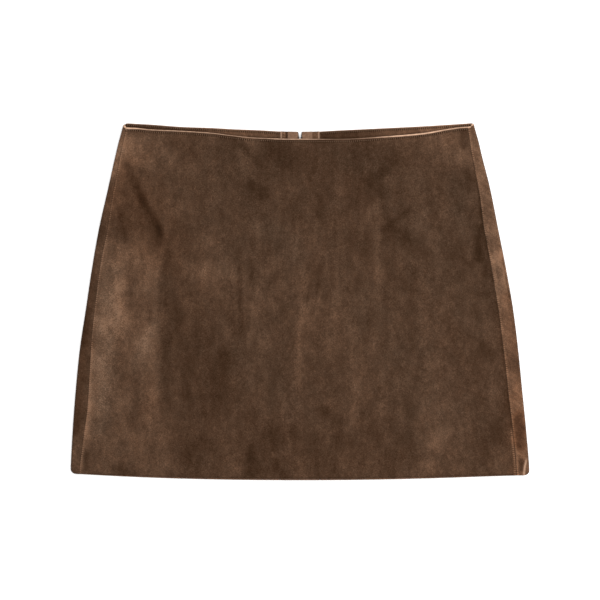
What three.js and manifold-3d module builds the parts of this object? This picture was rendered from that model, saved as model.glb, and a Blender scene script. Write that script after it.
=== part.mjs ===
// A suede mini skirt laid flat, front up, as a hollow tube of panels pressed to a few millimetres.
// Millimetres. X runs across the skirt, +Y towards the waist, +Z up. The origin is on the surface
// that the skirt lies on, under the middle of its outline.

import * as THREE from 'three';
import Module from 'manifold-3d';
import { mergeVertices } from 'three/addons/utils/BufferGeometryUtils.js';

const wasm = await Module();
wasm.setup();

// Cloth
const SUEDE = 1.2;
const TURNED_HEM = 2.4;
const HEM_DEPTH = 25;
const SEAM_GAP = 0.3;
const FACING = 1.0;
const FACING_DEPTH = 45;
const TAPE = 1.0;
const FOLD_RADIUS = 3.1;
const CUT_EDGE_SLOPE = 1.4;

// Height of the front's outer face over the surface
const FRONT_TOP = 4.6;
const HEM_RISE = 0.9;
const WAIST_RISE = 0.9;
const FOLD_SHOULDER = 30;
const DEEPEST_FOLD = 1.8;
const SEAM_RIDGE = { width: 21, zip: 2.1, below: 0.5, facing_extra: 0.4 };

// Hem line
const HEM_MIDDLE_Y = -196.3;
const HEM_CORNER_Y = -189;
const HEM_BEND = 2.2;
const FRONT_HEM_SHORTER = 1.8;
const WAIST_CORNER_Y = 194;

// Centre back: the opening with its zip
const ALLOWANCE = 21;
const TURN_RADIUS = 1.35;
const TAPE_WIDTH = 13.5;
const ZIP_LENGTH = 180;
const SLIDER_Y = 169;
const LIFT = { height: 2.4, half_width: 26, to_waist: 34, to_hem: 44 };
const SLIDER_BUMP = { height: 3.5, spread: 33 };

// Half width of the laid skirt at a height
const OUTLINE = [
  { y: -189.0, left: 249.0, right: 249.2 },
  { y: -184.0, left: 251.9, right: 251.9 },
  { y: -141.4, left: 249.7, right: 248.6 },
  { y: -97.4, left: 246.4, right: 244.2 },
  { y: -53.4, left: 242.0, right: 239.8 },
  { y: -9.4, left: 235.4, right: 234.3 },
  { y: 34.7, left: 228.8, right: 226.6 },
  { y: 78.7, left: 221.1, right: 217.8 },
  { y: 122.7, left: 211.2, right: 209.0 },
  { y: 166.7, left: 201.3, right: 198.0 },
  { y: 196.4, left: 194.0, right: 192.0 },
];

// Height of the waist edges across the skirt, share = x / half width
const WAIST = [
  { share: -1.0, back: 195.9, front: 191.5 },
  { share: -0.97, back: 195.7, front: 190.4 },
  { share: -0.85, back: 194.6, front: 189.0 },
  { share: -0.65, back: 191.9, front: 187.6 },
  { share: -0.5, back: 190.8, front: 185.2 },
  { share: -0.38, back: 189.7, front: 182.4 },
  { share: -0.25, back: 188.6, front: 180.1 },
  { share: 0.0, back: 186.2, front: 178.7 },
  { share: 0.25, back: 187.7, front: 179.1 },
  { share: 0.5, back: 189.9, front: 182.1 },
  { share: 0.7, back: 192.0, front: 185.8 },
  { share: 0.85, back: 194.4, front: 189.6 },
  { share: 0.93, back: 195.4, front: 191.6 },
  { share: 0.96, back: 195.8, front: 191.8 },
  { share: 1.0, back: 196.3, front: 196.1 },
];

// Distance of the side seams from the side folds, on the front face
const SIDE_SEAMS = [
  { y: -190, left: 9.5, right: 14.9 },
  { y: -152, left: 12.1, right: 14.7 },
  { y: -115, left: 15.0, right: 14.6 },
  { y: -64, left: 13.0, right: 15.3 },
  { y: -31, left: 11.0, right: 15.5 },
  { y: 4, left: 9.5, right: 14.9 },
  { y: 46, left: 8.4, right: 13.8 },
  { y: 75, left: 9.2, right: 13.8 },
  { y: 117, left: 6.6, right: 11.4 },
  { y: 194, left: 4.2, right: 7.4 },
];

// Half width of the centre back opening, below the waist edge
const OPENING = [
  { below: 0, half_gap: 1.8 },
  { below: 8, half_gap: 0.9 },
  { below: 26, half_gap: 0.9 },
  { below: 45, half_gap: 0.3 },
  { below: 400, half_gap: 0.2 },
];

// Soft ridges (height above 0) and troughs of the front, each along a line
const FOLDS = [
  { x0: -152, y0: 58, x1: -150, y1: -88, half_width: 26, height: -1.7 },
  { x0: -186, y0: 120, x1: -153, y1: 58, half_width: 14, height: -0.9 },
  { x0: -196, y0: -20, x1: -205, y1: -110, half_width: 22, height: 1.0 },
  { x0: -78, y0: 60, x1: -70, y1: -95, half_width: 22, height: 1.3 },
  { x0: -108, y0: -30, x1: -120, y1: -140, half_width: 20, height: -0.9 },
  { x0: -18, y0: -20, x1: -12, y1: -120, half_width: 16, height: 0.9 },
  { x0: 78, y0: 108, x1: 90, y1: -20, half_width: 18, height: -1.5 },
  { x0: 56, y0: -60, x1: 72, y1: -150, half_width: 16, height: 1.2 },
  { x0: 132, y0: 30, x1: 146, y1: -110, half_width: 24, height: 1.3 },
  { x0: 190, y0: 70, x1: 206, y1: -60, half_width: 16, height: -1.2 },
  { x0: 176, y0: -110, x1: 207, y1: -175, half_width: 14, height: -1.0 },
];

// Rows of a panel, as distances from its hem and from its waist edge
const PANEL_LENGTH = 382;
const ROWS_FROM_HEM = [0, 4, 14, 24.4, 25.6, 42];
const ROWS_FROM_WAIST = [58, 47, 40, 33, 26, 19.5, 13, 6.5, 0];
const MIDDLE_ROWS = 15;

// Columns of the front, from its middle outwards: first fixed, then spread to the seam
const FIXED_COLUMNS = [0, 6, 13.5, 22, 32];
const SPREAD_COLUMNS = 12;

const lerp = (from, to, share) => from + (to - from) * share;
const clamp = (value, low, high) => Math.min(high, Math.max(low, value));
const bell = (distance) => Math.exp(-distance * distance);

function rise(from, to, value) {
  const share = clamp((value - from) / (to - from), 0, 1);
  return share * share * (3 - 2 * share);
}

// Smooth curve through a table's rows that never overshoots them
function fromTable(table, key, column, at) {
  const last = table.length - 1;
  const x = clamp(at, table[0][key], table[last][key]);
  let i = 0;
  while (i < last - 1 && x > table[i + 1][key]) i += 1;
  const step = (k) => table[k + 1][key] - table[k][key];
  const slope = (k) => (table[k + 1][column] - table[k][column]) / step(k);
  const tangent = (k) => {
    if (k === 0) return slope(0);
    if (k === last) return slope(last - 1);
    const before = slope(k - 1);
    const after = slope(k);
    return before * after <= 0 ? 0 : (2 * before * after) / (before + after);
  };
  const h = step(i);
  const t = (x - table[i][key]) / h;
  const t2 = t * t;
  const t3 = t2 * t;
  return (2 * t3 - 3 * t2 + 1) * table[i][column] + (t3 - 2 * t2 + t) * h * tangent(i)
    + (3 * t2 - 2 * t3) * table[i + 1][column] + (t3 - t2) * h * tangent(i + 1);
}

const sideName = (side) => (side < 0 ? 'left' : 'right');
const foldEdge = (side, y) => fromTable(OUTLINE, 'y', sideName(side), y);
const rowHeight = (v) => lerp(HEM_CORNER_Y, WAIST_CORNER_Y, v);
const rowEdge = (side, v) => foldEdge(side, rowHeight(v));
const seamEdge = (side, v) => rowEdge(side, v) - fromTable(SIDE_SEAMS, 'y', sideName(side), rowHeight(v));

function rowShares() {
  const shares = ROWS_FROM_HEM.map((distance) => distance / PANEL_LENGTH);
  const first = ROWS_FROM_HEM.at(-1);
  const last = PANEL_LENGTH - ROWS_FROM_WAIST[0];
  for (let k = 1; k <= MIDDLE_ROWS; k += 1) {
    shares.push(lerp(first, last, k / (MIDDLE_ROWS + 1)) / PANEL_LENGTH);
  }
  return shares.concat(ROWS_FROM_WAIST.map((distance) => 1 - distance / PANEL_LENGTH));
}

const ROWS = rowShares();
const fromHem = (v) => v * PANEL_LENGTH;
const fromWaist = (v) => (1 - v) * PANEL_LENGTH;
const wallThickness = (v) => (fromHem(v) < HEM_DEPTH ? TURNED_HEM : SUEDE);

// Height in the plane of a point on the front or the back, at row share v
function planeY(face, x, v) {
  const share = clamp(x / rowEdge(Math.sign(x) || 1, v), -1, 1);
  const bend = Math.abs(share) ** HEM_BEND;
  const backHem = lerp(HEM_MIDDLE_Y, HEM_CORNER_Y, bend);
  const hem = face === 'front' ? backHem + FRONT_HEM_SHORTER * (1 - share ** 4) : backHem;
  return lerp(hem, fromTable(WAIST, 'share', face, share), v);
}

// Soft folds of the front at a point
function foldHeight(x, y) {
  let sum = 0;
  for (const fold of FOLDS) {
    const dx = fold.x1 - fold.x0;
    const dy = fold.y1 - fold.y0;
    const length = Math.hypot(dx, dy);
    const along = ((x - fold.x0) * dx + (y - fold.y0) * dy) / length;
    const across = ((x - fold.x0) * dy - (y - fold.y0) * dx) / length;
    const past = Math.max(0, -along, along - length);
    sum += fold.height * bell(across / fold.half_width) * bell(past / fold.half_width);
  }
  return DEEPEST_FOLD * Math.tanh(sum / DEEPEST_FOLD);
}

// Height of the front's outer face: side folds, hem, waist, what lies under it, and soft folds
function frontTop(x, y, v) {
  const side = Math.sign(x) || 1;
  const hem = 1 - rise(HEM_DEPTH, HEM_DEPTH + 22, fromHem(v));
  const waist = 1 - rise(FACING_DEPTH + 3, FACING_DEPTH + 24, fromWaist(v));
  const zip = 1 - rise(ZIP_LENGTH + 9, ZIP_LENGTH + 38, fromWaist(v));
  const ridge = lerp(SEAM_RIDGE.below, SEAM_RIDGE.zip + SEAM_RIDGE.facing_extra * waist, zip) * (1 - hem);
  const bump = SLIDER_BUMP.height * bell(x / SLIDER_BUMP.spread) * bell((y - SLIDER_Y) / SLIDER_BUMP.spread);
  const middle = FRONT_TOP + HEM_RISE * hem + WAIST_RISE * waist + ridge * bell(x / SEAM_RIDGE.width)
    + bump + foldHeight(x, y) * (1 - hem) * (1 - waist);
  const inward = Math.max(0, rowEdge(side, v) - FOLD_RADIUS - Math.abs(x));
  return lerp(middle, 2 * FOLD_RADIUS, bell(inward / FOLD_SHOULDER));
}

// Lift of the back over the zip's pull, which lies between it and the surface
function pullLift(x, y) {
  const reach = y > SLIDER_Y ? LIFT.to_waist : LIFT.to_hem;
  const across = Math.max(0, 1 - (x / LIFT.half_width) ** 2);
  const along = Math.max(0, 1 - ((y - SLIDER_Y) / reach) ** 2);
  return LIFT.height * across ** 2 * along ** 2;
}

// A closed wall between two grids of points with the same rows and columns
function wall(outer, inner) {
  const rows = outer.length;
  const columns = outer[0].length;
  const layer = rows * columns;
  const positions = [...outer.flat(2), ...inner.flat(2)];
  const index = [];
  const quad = (a, b, c, d) => index.push(a, b, c, a, c, d);
  for (let r = 0; r < rows - 1; r += 1) {
    for (let c = 0; c < columns - 1; c += 1) {
      const a = r * columns + c;
      const b = a + 1;
      const d = a + columns;
      const e = d + 1;
      quad(a, b, e, d);
      quad(layer + a, layer + d, layer + e, layer + b);
      if (r === 0) quad(b, a, layer + a, layer + b);
      if (r === rows - 2) quad(d, e, layer + e, layer + d);
      if (c === 0) quad(a, d, layer + d, layer + a);
      if (c === columns - 2) quad(e, b, layer + b, layer + e);
    }
  }
  return facingOut(positions, index);
}

// Geometry from points and triangles, turned so that its faces point out
function facingOut(positions, index) {
  const point = (k) => new THREE.Vector3().fromArray(positions, 3 * k);
  let volume = 0;
  for (let t = 0; t < index.length; t += 3) {
    volume += point(index[t]).dot(point(index[t + 1]).cross(point(index[t + 2])));
  }
  const turned = volume < 0 ? [...index].reverse() : index;
  const geometry = new THREE.BufferGeometry();
  geometry.setAttribute('position', new THREE.Float32BufferAttribute(positions, 3));
  geometry.setIndex(turned);
  geometry.computeVertexNormals();
  return geometry;
}

const raised = (grid, height) => grid.map((row) => row.map(([x, y, z]) => [x, y, z + height]));
const part = (grid, rows, columns) => grid.slice(...rows).map((row) => row.slice(...columns));
const firstRow = (test) => ROWS.findIndex(test);

// Front panel: outer face and underside as grids
function frontColumns(side, v) {
  const fixed = FIXED_COLUMNS.at(-1);
  const end = seamEdge(side, v) - SEAM_GAP / 2;
  const spread = [];
  for (let k = 1; k <= SPREAD_COLUMNS; k += 1) spread.push(lerp(fixed, end, k / SPREAD_COLUMNS));
  return [...FIXED_COLUMNS, ...spread].map((x) => side * x);
}

function frontGrids() {
  const outer = [];
  const under = [];
  for (const v of ROWS) {
    const xs = [...frontColumns(-1, v).reverse(), ...frontColumns(1, v).slice(1)];
    const slope = v === 1 ? CUT_EDGE_SLOPE : 0;
    outer.push(xs.map((x) => [x, planeY('front', x, v) - slope, frontTop(x, planeY('front', x, v), v)]));
    under.push(xs.map((x) => {
      const y = planeY('front', x, v);
      return [x, y, frontTop(x, y, v) - wallThickness(v)];
    }));
  }
  return { outer, under };
}

// Back panel of one side: from the edge of its centre allowance, round the turn at the opening,
// along the surface, round the side fold and on to the side seam on the front face
const TURN_STEPS = 4;
const FOLD_STEPS = 6;
const HEM_TURN_START = ALLOWANCE + 1.6;
const ALLOWANCE_COLUMNS = [ALLOWANCE, TAPE_WIDTH, 7.5];
const FLOOR_COLUMNS = [7.5, TAPE_WIDTH, ALLOWANCE + SEAM_GAP, HEM_TURN_START, 36, 62];
const FLOOR_SPREAD = 3;
const SHORTEST_FLANGE = 0.2;

function backSection(side, v) {
  const outer = [];
  const inner = [];
  const add = (list, x, y, z) => list.push([side * x, y, z + pullLift(x, y)]);
  const wallAt = (x, z) => {
    const y = planeY('back', side * x, v);
    const thick = x < HEM_TURN_START ? SUEDE : wallThickness(v);
    add(outer, x, y, z === 0 ? 0 : z + SUEDE);
    add(inner, x, y, z === 0 ? thick : z);
  };
  const turn = fromTable(OPENING, 'below', 'half_gap', fromWaist(v)) + TURN_RADIUS;
  const allowanceZ = 2 * TURN_RADIUS - SUEDE;
  for (const x of [...ALLOWANCE_COLUMNS, turn]) wallAt(x, allowanceZ);
  for (let k = 1; k < TURN_STEPS; k += 1) {
    const angle = Math.PI * (0.5 - k / TURN_STEPS);
    const y = planeY('back', side * turn, v);
    for (const [list, radius] of [[outer, TURN_RADIUS], [inner, TURN_RADIUS - SUEDE]]) {
      add(list, turn - radius * Math.cos(angle), y, TURN_RADIUS + radius * Math.sin(angle));
    }
  }
  wallAt(turn, 0);
  for (const x of FLOOR_COLUMNS) wallAt(x, 0);
  const foldStart = rowEdge(side, v) - FOLD_RADIUS;
  for (let k = 1; k <= FLOOR_SPREAD; k += 1) {
    wallAt(lerp(FLOOR_COLUMNS.at(-1), foldStart, k / FLOOR_SPREAD), 0);
  }
  for (let k = 1; k <= FOLD_STEPS; k += 1) {
    const angle = Math.PI * (k / FOLD_STEPS - 0.5);
    const x = side * (foldStart + FOLD_RADIUS);
    const y = lerp(planeY('back', x, v), planeY('front', x, v), k / FOLD_STEPS);
    for (const [list, radius] of [[outer, FOLD_RADIUS], [inner, FOLD_RADIUS - wallThickness(v)]]) {
      add(list, foldStart + radius * Math.cos(angle), y, FOLD_RADIUS + radius * Math.sin(angle));
    }
  }
  const seam = seamEdge(side, v) + SEAM_GAP / 2;
  for (const share of [0.5, 1]) {
    const x = lerp(foldStart, Math.min(seam, foldStart - SHORTEST_FLANGE), share);
    const y = planeY('front', side * x, v);
    const top = frontTop(side * x, y, v);
    add(outer, x, y, top);
    add(inner, x, y, top - wallThickness(v));
  }
  return { outer, inner };
}

function backGrids(side) {
  const sections = ROWS.map((v) => backSection(side, v));
  return { outer: sections.map((s) => s.outer), inner: sections.map((s) => s.inner) };
}

// Facings and tapes: made from the points of the panel that they lie on
const FACING_START = firstRow((v) => fromWaist(v) < FACING_DEPTH + 4);
const TAPE_START = firstRow((v) => fromWaist(v) < ZIP_LENGTH + 12);
const TAPE_COLUMNS = [1, ALLOWANCE_COLUMNS.length + 1];
const FACING_COLUMN = ALLOWANCE_COLUMNS.length + TURN_STEPS + 3;
const BACK_FACING_COLUMNS = [FACING_COLUMN, FACING_COLUMN + 4 + FLOOR_SPREAD];

function frontFacing(front) {
  const points = part(front.under, [FACING_START], [1, -1]);
  return wall(raised(points, -SEAM_GAP), raised(points, -SEAM_GAP - FACING));
}

function backFacing(back) {
  const points = part(back.inner, [FACING_START], BACK_FACING_COLUMNS);
  return wall(raised(points, SEAM_GAP + FACING), raised(points, SEAM_GAP));
}

function zipTape(back) {
  const points = part(back.outer, [TAPE_START], TAPE_COLUMNS);
  return wall(raised(points, SEAM_GAP + TAPE), raised(points, SEAM_GAP));
}

// Zip hardware. Heights are over the surface; the tape's top is where the slider runs
const TAPE_TOP = 2 * TURN_RADIUS + SEAM_GAP + TAPE + LIFT.height;
const SLIDER = { width: 7.2, length: 10, height: 1.6, plate: 0.7, wall: 0.6, fin: 1.0 };
const PIN = { height: 1.3, radius: 0.35, hole: 0.65, eye: 1.05 };
const PULL = { ear: 0.7, ear_radius: 0.75, thick: 0.8, bottom: 0.35, neck: 3.6, width: 5.2, length: 15.5 };
const STOP = { width: 4.4, length: 5, height: 0.9 };

function solid(geometry) {
  const bare = geometry.clone();
  bare.deleteAttribute('normal');
  bare.deleteAttribute('uv');
  const merged = mergeVertices(bare, 1e-4);
  const vertProperties = new Float32Array(merged.attributes.position.array);
  const triVerts = new Uint32Array(merged.index.array);
  return new wasm.Manifold(new wasm.Mesh({ numProp: 3, vertProperties, triVerts }));
}

function geometryOf(manifold) {
  const mesh = manifold.getMesh();
  const geometry = new THREE.BufferGeometry();
  geometry.setAttribute('position', new THREE.Float32BufferAttribute(mesh.vertProperties, 3));
  geometry.setIndex([...mesh.triVerts]);
  geometry.computeVertexNormals();
  return geometry;
}

function plate(shape, thickness, steps = 8) {
  return new THREE.ExtrudeGeometry(shape, { depth: thickness, bevelEnabled: false, curveSegments: steps });
}

// A round pin along X, between two X values
function roundPin(radius, from, to) {
  const pin = new THREE.CylinderGeometry(radius, radius, to - from, 16);
  return pin.rotateZ(Math.PI / 2).translate((from + to) / 2, 0, 0);
}

// Slider: a top plate with two side walls over the coils, and a fin with an eye through the opening.
// Its own origin is the pull's pin
function zipSlider() {
  const half = SLIDER.width / 2;
  const low = TAPE_TOP + SEAM_GAP - PIN.height;
  const top = low + SLIDER.height;
  const ceiling = top - SLIDER.plate;
  const section = new THREE.Shape();
  section.moveTo(-half, low);
  section.lineTo(-half + SLIDER.wall, low);
  section.lineTo(-half + SLIDER.wall, ceiling);
  section.lineTo(half - SLIDER.wall, ceiling);
  section.lineTo(half - SLIDER.wall, low);
  section.lineTo(half, low);
  section.lineTo(half, top);
  section.lineTo(-half, top);
  section.closePath();
  const body = plate(section, SLIDER.length).rotateX(Math.PI / 2).translate(0, SLIDER.length / 2, 0);
  const fin = new THREE.BoxGeometry(SLIDER.fin, 2 * PIN.eye, ceiling + SLIDER.plate / 2);
  fin.translate(0, 0, (ceiling + SLIDER.plate / 2) / 2);
  const eye = roundPin(PIN.eye, -SLIDER.fin / 2, SLIDER.fin / 2);
  const hole = roundPin(PIN.hole, -SLIDER.fin, SLIDER.fin);
  return geometryOf(solid(body).add(solid(fin)).add(solid(eye)).subtract(solid(hole)));
}

// Pull: a drop-shaped plate with two ears on a pin. Its own origin is the pin's middle,
// and it lies towards the hem
function zipPull() {
  const inside = SLIDER.fin / 2 + SEAM_GAP;
  const outside = inside + PULL.ear;
  const low = PULL.bottom - PIN.height;
  const high = low + PULL.thick;
  const pin = roundPin(PIN.radius, -outside, outside);
  const start = PIN.eye + SEAM_GAP + 0.1;
  const end = PULL.length;
  const half = PULL.width / 2;
  const drop = new THREE.Shape();
  drop.moveTo(-outside, -start);
  drop.lineTo(-outside, -PULL.neck);
  drop.bezierCurveTo(-outside, -PULL.neck - 3, -half, -end + 7, -half, -end + half);
  drop.absarc(0, -end + half, half, Math.PI, 2 * Math.PI, false);
  drop.bezierCurveTo(half, -end + 7, outside, -PULL.neck - 3, outside, -PULL.neck);
  drop.lineTo(outside, -start);
  drop.closePath();
  const eyelet = new THREE.Path();
  eyelet.absarc(0, -end + half, half * 0.42, 0, 2 * Math.PI, true);
  drop.holes.push(eyelet);
  const tab = plate(drop, PULL.thick).translate(0, 0, low);
  let pull = solid(pin).add(solid(tab));
  for (const side of [-1, 1]) {
    const from = side < 0 ? -outside : inside;
    const ear = roundPin(PULL.ear_radius, from, from + PULL.ear);
    const arm = new THREE.BoxGeometry(PULL.ear, start + 0.5, high - low);
    arm.translate(from + PULL.ear / 2, -(start + 0.5) / 2, (low + high) / 2);
    pull = pull.add(solid(ear)).add(solid(arm));
  }
  return geometryOf(pull);
}

function zipStop() {
  return new THREE.BoxGeometry(STOP.width, STOP.length, STOP.height);
}

// Materials
const suede = new THREE.MeshStandardMaterial({ color: 0x5a4333, roughness: 0.95, metalness: 0 });
const tapeCloth = new THREE.MeshStandardMaterial({ color: 0x4c3a2c, roughness: 0.9, metalness: 0 });
const zipMetal = new THREE.MeshStandardMaterial({ color: 0x4a392c, roughness: 0.45, metalness: 0.6 });

function named(name, geometry, material, place = [0, 0, 0]) {
  const mesh = new THREE.Mesh(geometry, material);
  mesh.name = name;
  mesh.position.set(...place);
  return mesh;
}

const skirt = new THREE.Group();
const front = frontGrids();
skirt.add(named('front_panel', wall(front.outer, front.under), suede));
skirt.add(named('front_facing', frontFacing(front), suede));
for (const side of [-1, 1]) {
  const back = backGrids(side);
  skirt.add(named(`back_panel_${sideName(side)}`, wall(back.outer, back.inner), suede));
  skirt.add(named(`back_facing_${sideName(side)}`, backFacing(back), suede));
  skirt.add(named(`zip_tape_${sideName(side)}`, zipTape(back), tapeCloth));
}

const slider = new THREE.Group();
slider.position.set(0, SLIDER_Y, PIN.height);
slider.add(named('zip_slider', zipSlider(), zipMetal));
slider.add(named('zip_pull', zipPull(), zipMetal));
skirt.add(slider);

const stopHeight = 2 * TURN_RADIUS + SEAM_GAP + TAPE + SEAM_GAP + STOP.height / 2;
skirt.add(named('zip_stop', zipStop(), zipMetal, [0, planeY('back', 0, 1) - ZIP_LENGTH, stopHeight]));

export default skirt;
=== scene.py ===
# A brown suede mini skirt laid flat, front up, seen from straight above.
# Lengths are in millimetres unless a name says otherwise; meshes are written in metres.
import math

import bpy
import numpy as np
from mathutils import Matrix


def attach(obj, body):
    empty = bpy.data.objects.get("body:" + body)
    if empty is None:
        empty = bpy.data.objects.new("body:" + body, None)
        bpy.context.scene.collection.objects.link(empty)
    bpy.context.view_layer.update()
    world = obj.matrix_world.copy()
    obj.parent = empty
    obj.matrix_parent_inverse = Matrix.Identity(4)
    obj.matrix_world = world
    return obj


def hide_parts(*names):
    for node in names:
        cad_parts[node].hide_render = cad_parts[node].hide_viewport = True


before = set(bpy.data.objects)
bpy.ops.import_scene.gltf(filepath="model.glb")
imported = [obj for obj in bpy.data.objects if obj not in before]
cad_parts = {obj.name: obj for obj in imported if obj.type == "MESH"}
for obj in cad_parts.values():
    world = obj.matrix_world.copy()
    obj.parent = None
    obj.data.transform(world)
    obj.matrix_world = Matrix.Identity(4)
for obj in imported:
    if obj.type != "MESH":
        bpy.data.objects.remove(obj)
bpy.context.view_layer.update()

MM = 0.001


def table(columns, *rows):
    """A short table as named columns of numbers."""
    return {name: np.array([row[i] for row in rows], float) for i, name in enumerate(columns.split())}


# Cloth
SUEDE = 1.2
TURNED_HEM = 2.4
HEM_DEPTH = 25
SEAM_GAP = 0.3
SEAM_HALF = 0.06
FACING = 1.0
FACING_DEPTH = 45
TAPE = 1.0
FOLD_RADIUS = 3.1
PANEL_LENGTH = 382

# Height of the front's outer face over the surface
FRONT_TOP = 4.6
HEM_RISE = 0.9
WAIST_RISE = 0.9
FOLD_SHOULDER = 30
DEEPEST_FOLD = 1.8
RIDGE_WIDTH = 21
RIDGE_ZIP = 2.1
RIDGE_BELOW = 0.5
RIDGE_FACING_EXTRA = 0.4

# Hem and waist lines
HEM_MIDDLE_Y = -196.3
HEM_CORNER_Y = -189
HEM_BEND = 2.2
HEM_CORNER_RADIUS = 5.5
WAIST_CORNER_EASE = 24
RIGHT_CORNER_LOWER = 1.8
FRONT_HEM_SHORTER = 1.8
WAIST_CORNER_Y = 194

# Centre back: the opening with its zip
ALLOWANCE = 21
TURN_RADIUS = 1.35
TAPE_WIDTH = 13.5
ZIP_LENGTH = 180
SLIDER_Y = 169
LIFT, LIFT_HALF_WIDTH, LIFT_TO_WAIST, LIFT_TO_HEM = 2.4, 26, 34, 44
BUMP, BUMP_SPREAD = 3.5, 33

OUTLINE = table(
    "y left right",
    (-189.0, 252.0, 252.0), (-184.0, 251.9, 251.9), (-141.4, 249.7, 248.6), (-97.4, 246.4, 244.2),
    (-53.4, 242.0, 239.8), (-9.4, 235.4, 234.3), (34.7, 228.8, 226.6), (78.7, 221.1, 217.8),
    (122.7, 211.2, 209.0), (166.7, 201.3, 198.0), (196.4, 194.0, 192.0),
)

# Height of the waist edges, a little finer than in the solids, share = x / half width
WAIST = table(
    "share back front",
    (-1.0, 195.2, 192.7), (-0.975, 195.9, 191.0), (-0.92, 195.3, 190.5), (-0.85, 194.6, 189.0),
    (-0.65, 191.8, 187.2), (-0.5, 190.8, 185.2), (-0.38, 189.5, 182.3), (-0.25, 188.5, 179.8),
    (0.0, 186.3, 178.1), (0.25, 188.4, 178.5), (0.5, 190.7, 181.5), (0.7, 192.6, 184.9),
    (0.85, 194.4, 189.6), (0.93, 195.4, 191.6), (0.96, 195.8, 191.8), (1.0, 196.3, 194.6),
)

# Distance of the side seams from the side folds, the right one a little further in than in the solids
SIDE_SEAMS = table(
    "y left right",
    (-190, 9.5, 14.5), (-152, 12.1, 14.9), (-115, 14.6, 15.7), (-64, 13.0, 16.2), (-31, 10.7, 16.6),
    (4, 9.3, 16.5), (46, 8.4, 15.8), (75, 9.2, 15.6), (117, 6.6, 13.1), (194, 4.2, 8.8),
)

OPENING = table("below half_gap", (0, 1.8), (8, 0.9), (26, 0.9), (45, 0.3), (200, 0.06), (400, 0.03))

# Large soft folds of the front, as in the solids
FOLDS = table(
    "x0 y0 x1 y1 half_width height",
    (-152, 58, -150, -88, 26, -1.7), (-186, 120, -153, 58, 14, -0.9),
    (-196, -20, -205, -110, 22, 1.0), (-78, 60, -70, -95, 22, 1.3), (-108, -30, -120, -140, 20, -0.9),
    (-18, -20, -12, -120, 16, 0.9), (78, 108, 90, -20, 18, -1.5), (56, -60, 72, -150, 16, 1.2),
    (132, 30, 146, -110, 24, 1.3), (190, 70, 206, -60, 16, -1.2), (176, -110, 207, -175, 14, -1.0),
)

# Finer creases of the front
CREASES = table(
    "x0 y0 x1 y1 half_width height",
    (-190, 146, -172, 104, 6, -0.45), (-172, 104, -153, 62, 5, -0.5), (-152, 52, -151, 4, 4, -0.35),
    (-150, -2, -147, -66, 5, -0.3), (-67, 40, -66, 4, 3.2, 0.3), (-66, 0, -69, -48, 3.6, 0.25),
    (-128, 52, -98, 8, 8, 0.3), (72, 84, 88, 110, 6, -0.35), (88, 106, 91, 6, 6, -0.4),
    (150, -10, 146, -118, 6, 0.35), (160, -30, 163, -76, 5, 0.3), (200, -152, 206, -190, 5, -0.4),
    (-233, -64, -219, -150, 4, 0.35), (-205, 96, -190, 60, 6, 0.25), (20, 60, 34, 20, 9, -0.25),
    (-36, -90, -18, -160, 9, 0.3), (110, -120, 118, -176, 9, 0.3), (-180, -118, -172, -176, 10, -0.3),
)

# Width and paleness of the front's raw waist edge, share = x / half width
RAW_EDGE = table(
    "share width pale",
    (-1.0, 2.2, 1.0), (-0.93, 1.6, 1.0), (-0.86, 1.2, 0.8), (-0.78, 1.1, 0.75), (-0.6, 1.15, 0.7),
    (-0.4, 0.95, 0.6), (-0.2, 0.9, 0.65), (-0.12, 1.15, 0.9), (-0.02, 1.2, 0.75), (0.1, 0.95, 0.55),
    (0.22, 0.75, 0.25), (0.33, 0.8, 0.35), (0.45, 1.2, 0.75), (0.6, 1.7, 1.1), (0.72, 1.75, 1.15),
    (0.85, 1.4, 0.9), (1.0, 1.6, 0.8),
)

# Colours, linear
SUEDE_TONES = (
    # hue from two stops below the middle to two above it, each at the middle's brightness
    (0.0735, 0.0268, 0.0048), (0.0692, 0.0291, 0.0098), (0.0624, 0.0314, 0.0163),
    (0.0608, 0.0320, 0.0179), (0.0600, 0.0324, 0.0187),
)
RAW_TAN = (0.90, 0.57, 0.385)
THREAD = (0.17, 0.1, 0.062)


def lerp(start, end, share):
    return start + (end - start) * share


def bell(distance):
    return np.exp(-np.square(distance))


def rise(start, end, value):
    share = np.clip((value - start) / (end - start), 0, 1)
    return share * share * (3 - 2 * share)


def curve(rows, key, column, at):
    """Smooth curve through a table's rows that never overshoots them, as in the solids."""
    x, y = rows[key], rows[column]
    slope = np.diff(y) / np.diff(x)
    before, after = slope[:-1], slope[1:]
    same_way = before * after > 0
    total = np.where(same_way, before + after, 1)
    inner = np.where(same_way, 2 * before * after / total, 0)
    tangent = np.concatenate([slope[:1], inner, slope[-1:]])
    at = np.clip(at, x[0], x[-1])
    i = np.clip(np.searchsorted(x, at, side="right") - 1, 0, len(x) - 2)
    h = x[i + 1] - x[i]
    t = (at - x[i]) / h
    t2, t3 = t * t, t * t * t
    return ((2 * t3 - 3 * t2 + 1) * y[i] + (t3 - 2 * t2 + t) * h * tangent[i]
            + (3 * t2 - 2 * t3) * y[i + 1] + (t3 - t2) * h * tangent[i + 1])


def by_side(rows, x, y):
    return np.where(x < 0, curve(rows, "y", "left", y), curve(rows, "y", "right", y))


def from_hem(v):
    return v * PANEL_LENGTH


def from_waist(v):
    return (1 - v) * PANEL_LENGTH


def row_edge(x, v):
    """Half width of the laid skirt on the side of x, at row share v."""
    y = lerp(HEM_CORNER_Y, WAIST_CORNER_Y, v)
    into_corner = np.clip(HEM_CORNER_RADIUS - (y - HEM_CORNER_Y), 0, HEM_CORNER_RADIUS)
    cut = HEM_CORNER_RADIUS - np.sqrt(HEM_CORNER_RADIUS ** 2 - into_corner ** 2)
    ease = np.where(x > 0, 1.5, 0.4) * (1 - rise(0, WAIST_CORNER_EASE, from_waist(v)))
    return by_side(OUTLINE, x, y) - cut - ease


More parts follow.
